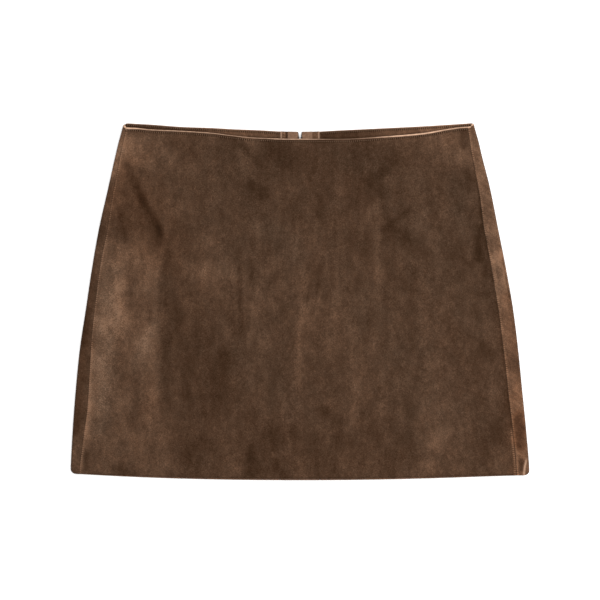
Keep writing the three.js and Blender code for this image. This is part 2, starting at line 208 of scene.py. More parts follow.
def seam_edge(x, v):
    y = lerp(HEM_CORNER_Y, WAIST_CORNER_Y, v)
    return by_side(OUTLINE, x, y) - by_side(SIDE_SEAMS, x, y)


def wall_thickness(v):
    step = rise(HEM_DEPTH - 0.6, HEM_DEPTH + 0.6, from_hem(v))
    return lerp(TURNED_HEM, SUEDE, step)


def share_at(x, v):
    y = lerp(HEM_CORNER_Y, WAIST_CORNER_Y, v)
    return np.clip(x / by_side(OUTLINE, x, y), -1, 1)


def plane_y(face, x, v):
    share = share_at(x, v)
    hem = lerp(HEM_MIDDLE_Y, HEM_CORNER_Y, np.abs(share) ** HEM_BEND)
    hem = hem - RIGHT_CORNER_LOWER * np.maximum(share, 0) ** 6
    if face == "front":
        hem = hem + FRONT_HEM_SHORTER * (1 - share ** 4)
    return lerp(hem, curve(WAIST, "share", face, share), v)


def folds_height(rows, x, y):
    """Sum of soft ridges and troughs, each along a line."""
    total = np.zeros(np.broadcast(x, y).shape)
    for x0, y0, x1, y1, half_width, height in zip(*rows.values()):
        dx, dy = x1 - x0, y1 - y0
        length = math.hypot(dx, dy)
        along = ((x - x0) * dx + (y - y0) * dy) / length
        across = ((x - x0) * dy - (y - y0) * dx) / length
        past = np.maximum(0, np.maximum(-along, along - length))
        total = total + height * bell(across / half_width) * bell(past / (2 * half_width))
    return total


def front_top(x, y, v):
    """Height of the front's outer face, as in the solids, with the finer creases."""
    hem = 1 - rise(HEM_DEPTH, HEM_DEPTH + 22, from_hem(v))
    waist = 1 - rise(FACING_DEPTH + 3, FACING_DEPTH + 24, from_waist(v))
    zip_part = 1 - rise(ZIP_LENGTH + 9, ZIP_LENGTH + 38, from_waist(v))
    ridge = lerp(RIDGE_BELOW, RIDGE_ZIP + RIDGE_FACING_EXTRA * waist, zip_part) * (1 - hem)
    bump = BUMP * bell(x / BUMP_SPREAD) * bell((y - SLIDER_Y) / BUMP_SPREAD)
    soft = DEEPEST_FOLD * np.tanh(folds_height(FOLDS, x, y) / DEEPEST_FOLD) * (1 - hem) * (1 - waist)
    fine = folds_height(CREASES, x, y) * (1 - 0.6 * hem) * (1 - 0.5 * waist)
    middle = (FRONT_TOP + HEM_RISE * hem + WAIST_RISE * waist + ridge * bell(x / RIDGE_WIDTH)
              + bump + soft + fine)
    inward = np.maximum(0, row_edge(x, v) - FOLD_RADIUS - np.abs(x))
    return lerp(middle, 2 * FOLD_RADIUS, bell(inward / FOLD_SHOULDER))


def pull_lift(x, y):
    reach = np.where(y > SLIDER_Y, LIFT_TO_WAIST, LIFT_TO_HEM)
    across = np.maximum(0, 1 - (x / LIFT_HALF_WIDTH) ** 2)
    along = np.maximum(0, 1 - ((y - SLIDER_Y) / reach) ** 2)
    return LIFT * across ** 2 * along ** 2


def ripple(along, phase):
    """Uneven small waves along a seam or an edge, from -1 to 1."""
    return (0.45 * np.sin(along / 1.9 + phase) + 0.3 * np.sin(along / 4.3 + 2.1 * phase)
            + 0.25 * np.sin(along / 11.0 + 3.7 * phase))


def roll(distance, reach, depth):
    """How far a face has rounded down at a distance from its edge."""
    inside = np.clip(1 - distance / reach, 0, 1)
    return depth * (1 - np.sqrt(np.maximum(0, 1 - inside ** 2)))


# Meshes

def mesh_object(name, verts, faces, attributes=None, sharp=50):
    mesh = bpy.data.meshes.new(name)
    mesh.from_pydata((np.asarray(verts) * MM).tolist(), [], faces)
    mesh.update()
    mesh.shade_smooth()
    mesh.set_sharp_from_angle(angle=math.radians(sharp))
    for key, values in (attributes or {}).items():
        layer = mesh.attributes.new(key, "FLOAT", "POINT")
        layer.data.foreach_set("value", np.asarray(values, np.float32).ravel())
    obj = bpy.data.objects.new(name, mesh)
    bpy.context.scene.collection.objects.link(obj)
    return obj


# Raw edges: the heights over the lowest point between which a raw side fades in, and the paleness just round
# the waist's cut
RAW_SIDE_FADE = (1, 5)
RAW_ROUND = 0.25


def shell(name, outer, inner, hem=(), waist=(), raw_waist=None, raw_sides=(0, 0), raw_inner=0.0, look=None):
    """A closed sheet of cloth. outer and inner are grids (row, column, xyz) from hem to waist, hem and
    waist are grids of the rows that close it there, raw_waist is the paleness of the waist's cut, and
    look gives the nap with painted light and shade, the hue and the sewn rows at each point."""
    hem = list(hem)
    waist = list(waist)
    loops = np.concatenate([outer[::-1], *[h[None] for h in hem], inner, *[w[None] for w in waist]])
    count, columns = loops.shape[:2]
    raw = np.zeros((count, columns))
    if raw_waist is not None:
        last = count - len(waist)
        raw[last:] = raw_waist
        raw[last - 1] = raw_waist
        raw[last - 3:last - 1] = raw_inner
        raw[0] = RAW_ROUND * raw_waist
    clear = rise(*RAW_SIDE_FADE, loops[..., 1] - loops[..., 1].min())
    raw[:, 0] = np.maximum(raw[:, 0], raw_sides[0] * clear[:, 0])
    raw[:, -1] = np.maximum(raw[:, -1], raw_sides[1] * clear[:, -1])
    verts = loops.transpose(1, 0, 2).reshape(-1, 3)
    a = (np.arange(columns - 1)[:, None] * count + np.arange(count)[None, :])
    b = (np.arange(columns - 1)[:, None] * count + (np.arange(count)[None, :] + 1) % count)
    faces = np.stack([a, b, b + count, a + count], -1).reshape(-1, 4).tolist()
    middle = len(outer) + len(hem) // 2
    pairs = (count - 2) // 2
    for start, turned in ((0, False), ((columns - 1) * count, True)):
        for k in range(pairs):
            near, far = (middle - 1 - k) % count, (middle + k + len(hem) % 2) % count
            before, after = (near - 1) % count, (far + 1) % count
            ring = [start + i for i in (near, before, after, far)]
            faces.append(ring[::-1] if turned else ring)
    faces = outward(verts, faces)
    seen = look(loops) if look is not None else {}
    raw = np.maximum(raw, seen.pop("raw", 0))
    values = {key: value.T for key, value in {"raw": raw, **seen}.items()}
    return mesh_object(name, verts, faces, values)


def outward(verts, faces):
    """The same faces, turned so that they point out of the closed shape."""
    quads = np.array([f if len(f) == 4 else [*f, f[-1]] for f in faces])
    p = verts[quads]
    volume = (np.einsum("ij,ij->i", p[:, 0], np.cross(p[:, 1], p[:, 2]))
              + np.einsum("ij,ij->i", p[:, 0], np.cross(p[:, 2], p[:, 3]))).sum()
    return [f[::-1] for f in faces] if volume < 0 else faces


def grid(x, y, z):
    return np.stack(np.broadcast_arrays(x, y, z), -1).astype(float)


def raised(points, height):
    return points + np.array([0, 0, height])


# Stitches and coil loops: rings along a bar, as (place, width), and how deep its ends dip, in radii
STITCH_RINGS = ((-0.5, 0.35), (-0.36, 0.85), (0.0, 1.0), (0.36, 0.85), (0.5, 0.35))
STITCH_SIDES = 6
STITCH_DIP = 1.1


def stitches(name, centres, directions, ups, length, radius):
    """A row of thread stitches, each a short rounded bar that dips into the cloth at both ends."""
    angle = np.arange(STITCH_SIDES) * 2 * math.pi / STITCH_SIDES
    verts, faces = [], []
    for centre, along, up in zip(centres, directions, ups):
        along = along / np.linalg.norm(along)
        side = np.cross(up, along)
        side /= np.linalg.norm(side)
        up = np.cross(along, side)
        base = len(verts)
        for t, width in STITCH_RINGS:
            middle = centre + along * t * length - up * radius * STITCH_DIP * (2 * t) ** 2
            for k in angle:
                verts.append(middle + radius * width * (side * math.cos(k) + up * math.sin(k)))
        rings = len(STITCH_RINGS)
        for r in range(rings - 1):
            for k in range(STITCH_SIDES):
                n = (k + 1) % STITCH_SIDES
                at = base + r * STITCH_SIDES
                faces.append([at + k, at + n, at + STITCH_SIDES + n, at + STITCH_SIDES + k])
        faces.append([base + k for k in range(STITCH_SIDES)][::-1])
        faces.append([base + (rings - 1) * STITCH_SIDES + k for k in range(STITCH_SIDES)])
    return mesh_object(name, np.array(verts), faces, sharp=80)


# Rows and columns of the fine cloth

ROW_STEP = 2.5
BELOW_WAIST = np.array([14, 12, 10, 8.3, 6.8, 5.6, 4.6, 3.9, 3.3, 2.9, 2.5, 2.1, 1.7, 1.3, 0.9, 0.5, 0.2, 0])
ROWS = np.array(
    [0, 0.35, 0.9, 1.6, 2.4, 3.6, 5.5, *np.arange(7.5, 22.5, ROW_STEP), 23.5, 24.4, 25, 25.6, 26.6,
     *np.arange(29, PANEL_LENGTH - 16, ROW_STEP), *(PANEL_LENGTH - BELOW_WAIST)]
) / PANEL_LENGTH
V = ROWS[:, None]
EDGE_STEPS = np.array([0, 0.15, 0.4, 0.8, 1.3, 2.0, 3.2])


def between(start, end, count):
    return np.linspace(start, end, count + 1)


HEM_ROUND = np.radians([60, 30, 0, -30, -60])


def hem_rows(outer_row, inner_row, depth):
    """Rows that round the folded hem between the outer and the inner face."""
    middle = (outer_row + inner_row) / 2
    half = (outer_row - inner_row) / 2
    rows = []
    for angle in HEM_ROUND:
        point = middle + half * math.sin(angle)
        point = point - np.array([0, depth, 0]) * math.cos(angle)
        rows.append(point)
    return rows


# Patches of nap and painted light: how firm the border of a patch is, the strength of the front's patches,
# and the hem's painted highlight and painted shade in stops
NAP_FIRMNESS = 2.8
FRONT_PATCH_STRENGTH = 1.1
HEM_PAINTED_LIGHT = 1.5
HEM_PAINTED_SHADE = 0.45

# Soft patches of the front, each along a line, in stops of light: where the nap lies lighter or darker, with
# painted light where folds face the light and painted shade in creases and where folds face away. They were
# placed and adjusted by measuring where the picture differed from the photograph.
NAP_AND_SHADE_PATCHES = table(
    "x0 y0 x1 y1 half_width amount",
    # light side of the front, left: painted light where the front slopes towards the light, and lighter nap
    (-205, 54, -211, -24, 17, 0.75), (-217, -24, -222, -110, 12, 0.8),
    (-177, 58, -173, -64, 17, 0.53), (-214, 10, -216, -40, 8, 0.25), (-166, 30, -172, -60, 6, 0.25),
    (-196, -44, -196, -106, 12, 0.35), (-164, -82, -165, -124, 13, 0.35),
    (-232, -112, -233, -158, 5, 0.6), (-187, 24, -184, -16, 5, -0.15),
    (-183, -42, -182, -86, 6, -0.25), (-196, -128, -150, -146, 20, 0.15),
    (-200, 168, -166, 172, 17, 0.5), (-190, 150, -184, 142, 8, 0.25),
    (-150, 150, -120, 110, 22, 0.15), (-176, 134, -160, 108, 6, 0.2), (-186, 96, -176, 70, 6, 0.12),
    # painted shade in the creases on the left
    (-191, 150, -172, 110, 4.6, -0.7), (-174, 114, -154, 74, 5.4, -0.75),
    (-154, 82, -156, 62, 3.6, -0.5), (-160, 88, -150, 62, 6, -0.45), (-199, 104, -191, 66, 3.5, -0.5),
    (-176, 96, -168, 82, 5, -0.2), (-147, 56, -145, -116, 5.5, -0.3), (-140, -8, -136, -20, 8, -0.35),
    (-118, -34, -112, -104, 22, -0.3), (-84, -70, -92, -104, 12, -0.25),
    (-128, 70, -122, 50, 4, -0.35), (-66, 36, -65, -36, 2.6, -0.5), (-56, 42, -50, 30, 6, -0.45),
    (-124, -164, -118, -176, 12, -0.4), (-104, -152, -98, -160, 8, -0.3),
    # light places between
    (-126, 36, -102, 24, 9, 0.4), (-100, 36, -72, 30, 10, 0.4), (-60, -10, -48, -90, 12, 0.2),
    (-16, 66, 22, -40, 42, 0.15), (-2, -18, -2, -90, 3.5, 0.25), (2, -6, 6, -22, 7, 0.25),
    (50, 20, 62, -60, 24, 0.15), (85, 116, 86, 4, 3.5, 0.38), (68, 82, 86, 108, 5, 0.35),
    (62, -92, 58, -132, 7, 0.28), (78, -90, 74, -102, 6, 0.12), (90, -114, 88, -122, 6, 0.35),
    (132, -18, 148, -88, 9, 0.2), (155, -146, 150, -154, 11, 0.6), (150, -100, 168, -178, 14, 0.15),
    (140, 176, 182, 158, 16, 0.4), (178, 160, 188, 156, 8, 0.3), (132, 88, 150, 60, 8, 0.12),
    # dark top and middle
    (-34, 168, -14, 152, 12, -0.52), (-72, 176, -62, 172, 8, -0.5), (-60, 166, -40, 146, 3, -0.35),
    (-54, 126, -44, 118, 8, -0.75), (-10, 170, 64, 162, 20, -0.25), (20, 116, 21, 96, 5, -0.4),
    (78, 132, 92, 142, 7, -0.5), (94, 146, 104, 160, 7, -0.4), (-28, 62, -22, 58, 7, -0.3),
    (58, 70, 64, 56, 8, -0.35), (98, 74, 114, 70, 12, -0.5), (90, 78, 120, 101, 3, -0.45),
    (122, 36, 123, -8, 6, -0.25), (74, -18, 76, -30, 6, -0.3), (24, 38, 22, 20, 7, -0.2),
    (44, -66, 36, -80, 8, -0.2),
    # dark bottom
    (-54, -164, -52, -188, 6, -0.6), (-26, -142, -24, -158, 9, -0.4), (-22, -178, -18, -190, 8, -0.5),
    (-8, -138, -4, -152, 6, -0.35), (22, -118, 42, -132, 6, -0.35), (40, -146, 40, -156, 5, -0.35),
    (38, -186, 44, -190, 5, -0.35), (116, -148, 128, -170, 9, -0.35), (70, -150, 96, -176, 14, -0.22),
    (-198, -182, -192, -188, 6, -0.4),
    # right side: mostly painted shade where the front rises towards the fold, facing away from the light
    (184, 142, 188, 124, 5, -0.45), (198, 122, 204, 84, 5, -0.45), (196, 80, 196, 46, 5, -0.85),
    (202, 40, 210, -12, 6, -0.3), (202, -48, 208, -60, 8, -0.35), (222, -114, 214, -152, 8, -0.5),
    (204, -154, 203, -178, 3.5, -0.35), (168, 104, 167, 70, 3.5, -0.25),
    (166, -24, 168, -70, 4, -0.2), (118, -108, 122, -126, 6, -0.25),
    # weaker places, light
    (-202, 176, -208, 112, 13, 0.5), (-184, 174, -178, 166, 10, 0.3),
    (-142, 156, -124, 142, 13, 0.28), (-160, 142, -160, 124, 9, 0.22), (-138, 104, -136, 94, 9, 0.3),
    (-102, 66, -98, 8, 11, 0.42), (-198, 42, -197, -30, 9, 0.6), (-162, 44, -158, 26, 8, 0.3),
    (-162, -34, -166, -48, 9, 0.45), (-180, -56, -176, -66, 8, 0.25),
    (-222, -66, -226, -142, 13, 0.42), (-204, -94, -204, -128, 11, 0.35),
    (-164, -104, -164, -126, 11, 0.25), (-204, -142, -160, -146, 11, 0.25),
    (-202, -160, -158, -176, 18, 0.5), (-60, 178, -52, 174, 8, 0.3), (-46, 6, -38, -48, 9, 0.3),
    (-6, 8, 4, -4, 9, 0.25), (34, 46, 42, 30, 8, 0.2), (88, 96, 86, 56, 5, 0.22),
    (-20, -92, -22, -130, 8, 0.2), (140, -130, 140, -188, 10, 0.4), (166, -180, 178, -186, 9, 0.2),
    (182, -110, 184, -128, 9, 0.22), (120, 22, 142, 18, 8, 0.18),
    # weaker places, dark
    (-88, 178, -88, 126, 13, -0.22), (-46, 64, -42, 52, 10, -0.38), (-40, 100, 24, 98, 18, -0.18),
    (-24, 140, 26, 134, 16, -0.28), (54, 148, 58, 108, 11, -0.28), (82, 124, 84, 112, 9, -0.32),
    (98, 168, 102, 160, 8, -0.3), (14, 36, 18, 18, 9, -0.28), (10, -42, 22, -66, 13, -0.25),
    (28, -124, 34, -134, 8, -0.3), (-60, -2, -60, -26, 7, -0.38), (-118, -4, -126, -14, 10, -0.2),
    (-76, -116, -56, -130, 12, -0.25), (-56, -174, -60, -190, 8, -0.25),
    (-36, -144, -30, -186, 9, -0.2), (0, -150, 26, -186, 13, -0.2), (160, 64, 182, 52, 10, -0.27),
    (199, 54, 201, 28, 5, -0.4), (74, -22, 66, -50, 10, -0.2), (-180, 80, -178, 66, 6, -0.4),
    (-169, 8, -167, -16, 6, -0.35), (-221, -20, -222, -36, 10, -0.5), (190, -144, 188, -158, 6, -0.3),
    (-138, -152, -100, -160, 14, -0.12), (-190, -16, -184, -44, 8, 0.4),
    (-235, -168, -234, -184, 3, -0.5), (179, 186, 180, 172, 4.5, -0.7),
    (152, 106, 153, 76, 2.5, -0.25), (-152, 58, -157, 28, 3, 0.35), (-158, 20, -160, -56, 3.5, 0.3),
    (-160, -64, -161, -116, 5, 0.25), (-84, -66, -80, -100, 14, -0.2),
    (-206, -40, -208, -100, 5, 0.3), (-196, 178, -202, 152, 13, 0.4), (-180, 182, -168, 178, 8, 0.2),
    (-200, 12, -202, -12, 9, 0.28), (-66, 182, -54, 176, 8, 0.3), (134, -178, 146, -188, 10, 0.2),
    (-84, 104, -78, 96, 9, 0.12), (-62, 106, -56, 94, 10, -0.25), (-86, -178, -74, -184, 10, 0.22),
    (16, -14, 24, -28, 11, -0.25), (50, 182, 120, 181, 8, 0.35), (158, 181, 178, 181, 8, 0.35),
    (-152, 182, -120, 181, 7, 0.22), (198, -56, 203, -124, 9, -0.22), (62, 104, 80, 78, 14, -0.14),
    (120, 62, 196, 54, 12, -0.12), (-62, 64, -60, 54, 7, 0.2), (-66, 181, -52, 180, 6, 0.2),
    (218, -92, 220, -126, 8, 0.28), (223, -172, 224, -188, 7, 0.35), (16, -114, 24, -126, 10, -0.22),
    (80, 122, 102, 117, 10, -0.24), (-24, 24, -16, 14, 10, -0.2), (-64, -154, -58, -168, 9, -0.2),
    (-180, 154, -163, 151, 5, 0.5), (189, 128, 191, 118, 4, 0.45), (-168, 168, -165, 167, 4, -0.45),
    (0, 174, 5, 172, 4, 0.45), (-209, -80, -206, -94, 5, -0.45), (-207, -32, -207, -38, 5, -0.4),
    (-205, 58, -204, 48, 5, -0.45), (-154, 42, -152, 34, 4, 0.4), (94, 178, 100, 168, 6, -0.4),
    (-52, -148, -52, -156, 5, -0.4), (-114, 101, -101, 107, 3.5, -0.3), (-97, 30, -91, 24, 6, -0.35),
    (140, -85, 141, -93, 6, 0.35), (-218, -183, -212, -186, 6, 0.4),
)

# Patches on the strips of the back that fold round to the front: painted light on the right strip, which
# faces the light, painted shade on the left one, which faces away, and lighter and darker nap
STRIP_LIGHT_AND_NAP = table(
    "x0 y0 x1 y1 half_width amount",
    (-199, 192, -206, 143, 10, 1.2), (-200, 168, -202, 158, 6, 0.4), (-210, 134, -214, 108, 8, 0.4),
    (-230, 20, -243, -60, 14, -0.2), (-212, 124, -222, 84, 8, 0.1), (-219, 78, -221, 68, 6, -0.4),
    (-236, -12, -240, -44, 7, -0.85), (-243, -60, -248, -140, 12, -0.1),
    (-247, -130, -248, -142, 7, -0.6), (-248, -154, -250, -188, 11, 0.45),
    (188, 190, 198, 144, 9, 0.8), (204, 132, 217, 56, 12, 0.95), (221, 44, 236, -52, 14, 1.0),
    (239, -84, 244, -190, 14, 1.05), (231, 4, 233, -10, 7, -0.3), (234.5, -46, 236, -54, 7, -0.4),
    (237, -72, 237.5, -80, 7, -0.6), (239.6, -128, 241.6, -156, 6, -1.3),
    (242.2, -175, 242.4, -184, 3.0, -1.3), (220, 20, 240, -120, 12, 0.12),
    (225, 50, 229.5, 20, 8, 0.6), (198, 172, 201, 158, 7, 0.6), (243, -162, 244, -172, 5, 0.3),
    (221.4, 50, 229.9, 4, 0.9, -1.0), (219.0, 58, 225.0, 26, 0.9, 0.5),
    (212.3, 44, 215.6, 20, 1.4, 0.65), (205.4, 84, 207.6, 64, 1.5, 0.55),
    (226.5, -95, 228.5, -106, 2.5, 0.4),
)
STRIP_UNEVEN = 0.3

# Where the brown is redder, or greyer below zero, each along a line, placed in the same way
WARMTH = table(
    "x0 y0 x1 y1 half_width amount",
    (-202, 130, -152, 64, 30, 0.7), (-206, 168, -170, 120, 26, 0.3), (-62, 168, -52, 44, 48, -0.25),
    (-34, 80, -6, 52, 14, -0.4), (44, 166, 88, 146, 14, -0.45), (118, 110, 190, -4, 34, -0.3),
    (170, 128, 196, 60, 15, -0.5), (78, -12, 152, -118, 32, -0.3), (-58, -60, -2, -118, 24, -0.25),
    (-210, 36, -219, -136, 13, -0.6), (-160, -26, -180, -70, 8, -0.5),
    (-150, -130, 64, -180, 44, 0.2), (-120, 20, -100, -60, 30, 0.15), (232, -4, 243, -188, 15, 1.0),
    (224, 60, 232, 6, 7, 0.4), (239.6, -126, 241.6, -156, 7, 1.6), (-229, 40, -247, -140, 8, 0.75),
    (-199, 165, -206, 132, 6, -0.7),
)

# A pale rubbed line near the right hem corner
SCUFF = table(
    "x0 y0 x1 y1 half_width amount",
    (248.2, -174, 246.4, -182, 0.9, 0.5), (246.4, -182, 245.4, -192, 1.2, 0.4),
)

# The underside has the front's patches, mirrored, moved and weaker
UNDER_SHIFT = np.array([9, -14, 0])
UNDER_STRENGTH = 0.6

# The main light and dark places of the back's inner face along the waist
INSIDE = table(
    "x nap",
    (-190, -0.4), (-125, 0.1), (-66, 0.9), (0, 0.0), (44, -0.4), (110, 0.8), (165, 1.25), (190, 0.5),
)
INSIDE_WARMTH = 0.5
# painted shadow of the front's waist edge on the back's inner face, in stops
FRONT_SHADE = 0.6


def patch_lines(rows, points):
    """Sum of the patches, with firmer and less even borders than a fold has."""
    x, y = points[..., 0], points[..., 1]
    uneven_x = 2.2 * np.sin(y / 6.1 + x / 17) + 1.4 * np.sin(y / 2.9 - x / 11)
    uneven_y = 3.0 * np.sin(x / 7.3 + y / 23) + 1.8 * np.sin(x / 3.4 - y / 13)
    total = np.zeros(x.shape)
    for x0, y0, x1, y1, half_width, amount in zip(*rows.values()):
        dx, dy = x1 - x0, y1 - y0
        length = math.hypot(dx, dy)
        firm = 0.65 * rise(1, 12, half_width)
        from_x, from_y = x + firm * uneven_x - x0, y + firm * uneven_y - y0
        along = (from_x * dx + from_y * dy) / length
        across = (from_x * dy - from_y * dx) / length
        past = np.maximum(0, np.maximum(-along, along - length))
        total = total + amount * np.exp(-(np.hypot(across, past) / half_width) ** NAP_FIRMNESS)
    return total


def sewn_row(points, rows, distance):
    """Where a waist row of stitches runs over the outer rows of a shell, from 0 to 1."""
    sewn = np.zeros(points.shape[:2])
    band = bell(from_waist(rows)[::-1] - distance)
    sewn[:len(rows)] = band[:, None] * (0.8 + 0.3 * ripple(points[:len(rows), :, 0] / 3, 1.2))
    return sewn


def front_look(points):
    """Nap with painted light and shade of the front panel, in stops, on the face that shows, its hue and its
    sewn lines.
    """
    x, y = points[..., 0], points[..., 1]
    left, right = x - x[:, :1], x[:, -1:] - x
    low, high = rise(-134, -150, y), rise(120, 160, y)
    nap = FRONT_PATCH_STRENGTH * patch_lines(NAP_AND_SHADE_PATCHES, points)
    # the left seam's edge is paler, more so further down
    nap = nap + 0.25 * bell((left - 0.9) / 1.2)
    nap = nap + 0.45 * rise(-30, -75, y) * bell((left - 2.0) / 2.0)
    nap = nap + 0.4 * rise(-146, -166, y) * bell((left - 1.6) / 1.6)
    # painted shadow along the right seam's edge, and near the hem a painted highlight on its ridge with
    # painted shade in the groove beside it
    nap = nap - 0.75 * (1 - low) * (1 - 0.8 * high) * bell(right / 2.2)
    nap = nap + low * (0.75 * bell((right - 1.4) / 1.3) - 0.5 * bell(right / 0.5))
    # painted shade where the front's hem rounds down at its edge
    nap[:len(ROWS)] -= HEM_PAINTED_SHADE * bell(from_hem(ROWS)[::-1, None] / 0.7)
    fade = 0.8 + 0.35 * ripple(y / 2.5, 0.4)
    down = fade * (0.75 * bell((left - 0.9) / 0.8) + low * bell((right - 1.5) / 0.9))
    top = rise(2.0, 3.2, points[..., 2])
    return {"nap": nap * top, "warm": patch_lines(WARMTH, points), "sewn_down": down * top,
            "sewn_across": sewn_row(points, ROWS, WAIST_STITCH)}


def back_look(points):
    """Nap with painted light and shade of a back panel, in stops, its hue and its sewn line: the strip that
    folds round to the front, the face inside, the hem that shows below the front's, and the face that lies
    on the surface."""
    x, y, z = (points[..., k] for k in range(3))
    z = z - pull_lift(x, y)
    inward = np.abs(x) - np.abs(x[:, -1:])
    fade = np.clip(0.6 + 0.7 * ripple(y / 2.2, 1.4), 0, 1.2)
    # painted highlight on the ridge beside the right strip's seam
    seam = np.where(x > 0, 0.3 * bell((inward - 1.4) / 1.6), 0)
    strip = patch_lines(STRIP_LIGHT_AND_NAP, points) + seam + STRIP_UNEVEN * ripple(2 * y + 1.5 * x, 0.8)
    # painted highlight on the back's rounded hem where it shows below the front's
    inside = inside_tone_and_shade(x, y) * rise(0, 20, y) + HEM_PAINTED_LIGHT * bell((y - plane_y("back", x, 0.0)) / 1.8)
    folded = rise(3.4, 5.2, z)
    nap = strip * folded + inside * rise(3.0, 2.6, z) * rise(0.8, 1.1, z)
    # the face on the surface gets the front's patches of nap and painted shade, mirrored and weaker, and
    # painted shade in the darts' grooves
    mirrored = (points + UNDER_SHIFT) * np.array([-1, 1, 1])
    darts = DART_PAINTED_SHADE * bell((np.abs(x) - np.where(x < 0, DART_X[-1], DART_X[1])) / 0.8)
    dart_end = rise(DART_LENGTH, DART_LENGTH - 25, plane_y("back", x, 1.0) - y)
    under = UNDER_STRENGTH * patch_lines(NAP_AND_SHADE_PATCHES, mirrored) - darts * dart_end
    nap = nap + under * rise(0.9, 0.5, z)
    down = np.where(x > 0, 1.0, 0.15) * fade * bell((inward - 1.1) / 0.7) * folded
    warm = lerp(INSIDE_WARMTH, patch_lines(WARMTH, points), folded)
    return {"nap": nap, "warm": warm, "sewn_down": down, "raw": patch_lines(SCUFF, points) * folded}


def facing_look(points):
    nap = inside_tone_and_shade(points[..., 0], points[..., 1])
    return {"nap": nap, "warm": INSIDE_WARMTH + 0 * nap,
            "sewn_across": sewn_row(points, ROWS[FACING_ROWS], FACING_STITCH)}


def inside_tone_and_shade(x, y):
    """Darker and lighter places of the back's inner face, where it shows above the front's waist, with
    painted shadow just above the front's waist edge and in the gap at the left tape's edge.
    """
    gap = y - plane_y("front", x, 1.0)
    right_allowance = 1.5 * rise(12.5, 13.2, x) * rise(21, 20, x)
    # the left allowance is paler, with painted shadow in the gap at the tape's edge
    left_allowance = 1.1 * rise(-21.5, -20.5, x) * rise(-15, -16, x) - 0.5 * bell(x + 14.4)
    # painted shadow on the back's inner face just above the front's waist edge
    shade = FRONT_SHADE * rise(3.2, 0.4, gap)
    return curve(INSIDE, "x", "nap", x) + right_allowance + left_allowance - shade


# Front panel and front facing

WAIST_STITCH = 2.9
GROOVE = 0.22
HEM_ROUNDING = 0.9
RAW_SLOPE = 2.6
SEAM_ROLL = 1.1
FRONT_COLUMNS_WIDTH = 430
FRONT_COLUMNS = 176
FACING_STITCH = 2.1
FACING_BACK = 0.8
FACING_INSET = 12
FACING_ROWS = ROWS > 1 - (FACING_DEPTH + 1) / PANEL_LENGTH


def front_grids():
    steps = EDGE_STEPS / FRONT_COLUMNS_WIDTH
    middle = between(steps[-1], 1 - steps[-1], FRONT_COLUMNS)[1:-1]
    share = np.concatenate([steps, middle, (1 - steps)[::-1]])[None]
    low = -seam_edge(-1.0, V) + SEAM_HALF
    high = seam_edge(1.0, V) - SEAM_HALF
    x = lerp(low, high, share)
    y = plane_y("front", x, V) + HEM_ROUNDING * (1 - rise(0, 30, from_hem(V)))
    top = front_top(x, y, V)
    to_seam = np.minimum(x - low, high - x)
    pucker = ripple(y, np.where(x < 0, 1.0, 2.3))
    from_edge = from_waist(V)
    groove = GROOVE * bell((from_edge - WAIST_STITCH) / 0.6)
    z = top - roll(to_seam, SEAM_ROLL, np.where(x < 0, 0.35, 0.7))
    z = z + 0.14 * pucker * bell(to_seam / 4.5) - groove
    z = z + 0.12 * ripple(x, 0.7) * bell((from_edge - 4) / 3.5)
    width = curve(RAW_EDGE, "share", "width", share_at(x, 1.0))
    slope = width * (1 - rise(0, RAW_SLOPE, from_edge))
    outer = grid(x, y - slope, z - 0.1 * rise(1.5, 0, from_edge))
    inner = grid(x, y, top - wall_thickness(V))
    return outer, inner


def front_panel():
    outer, inner = front_grids()
    x = outer[-1, :, 0]
    pale = curve(RAW_EDGE, "share", "pale", share_at(x, 1.0)) * (0.84 + 0.2 * ripple(x * 1.4, 1.9))
    crown = lerp(inner[-1], outer[-1], 0.72) + np.array([0, 0.25, 0])
    lower = lerp(inner[-1], outer[-1], 0.3) + np.array([0, 0.22, 0])
    hem = hem_rows(outer[0], inner[0], HEM_ROUNDING)
    obj = shell("suede_front", outer, inner, hem, [lower, crown], raw_waist=pale, look=front_look)
    return obj, outer, inner


def facing_shell(name, under, top_first):
    """A facing made from the points of the panel that it lies on."""
    near, far = (-SEAM_GAP, -SEAM_GAP - FACING) if top_first else (SEAM_GAP + FACING, SEAM_GAP)
    top, low = raised(under, near), raised(under, far)
    back = FACING_BACK * rise(0, 3, (top[-1, :, 1] - top[:, :, 1]))
    top[..., 1] -= FACING_BACK - back
    low[..., 1] -= FACING_BACK - back
    pale = np.full(top.shape[1], 0.35)
    middle = (top[-1] + low[-1]) / 2 + np.array([0, 0.15, 0])
    look = None if top_first else facing_look
    return shell(name, top, low, (), [middle], raw_waist=pale, raw_sides=(0.4, 0.1), look=look)


def front_facing(inner):
    return facing_shell("suede_front_facing", inner[FACING_ROWS][:, FACING_INSET:-FACING_INSET:2], True)


# Back panels

DART_X = {-1: 82.0, 1: 92.0}
DART_LENGTH = 105
DART_GROOVE = 0.35
DART_PAINTED_SHADE = 0.9
FOLD_CUT = {-1: 3.0, 1: 1.5}
SLIT_CORNER = {-1: (2.0, 4.0), 1: (0.9, 3.0)}

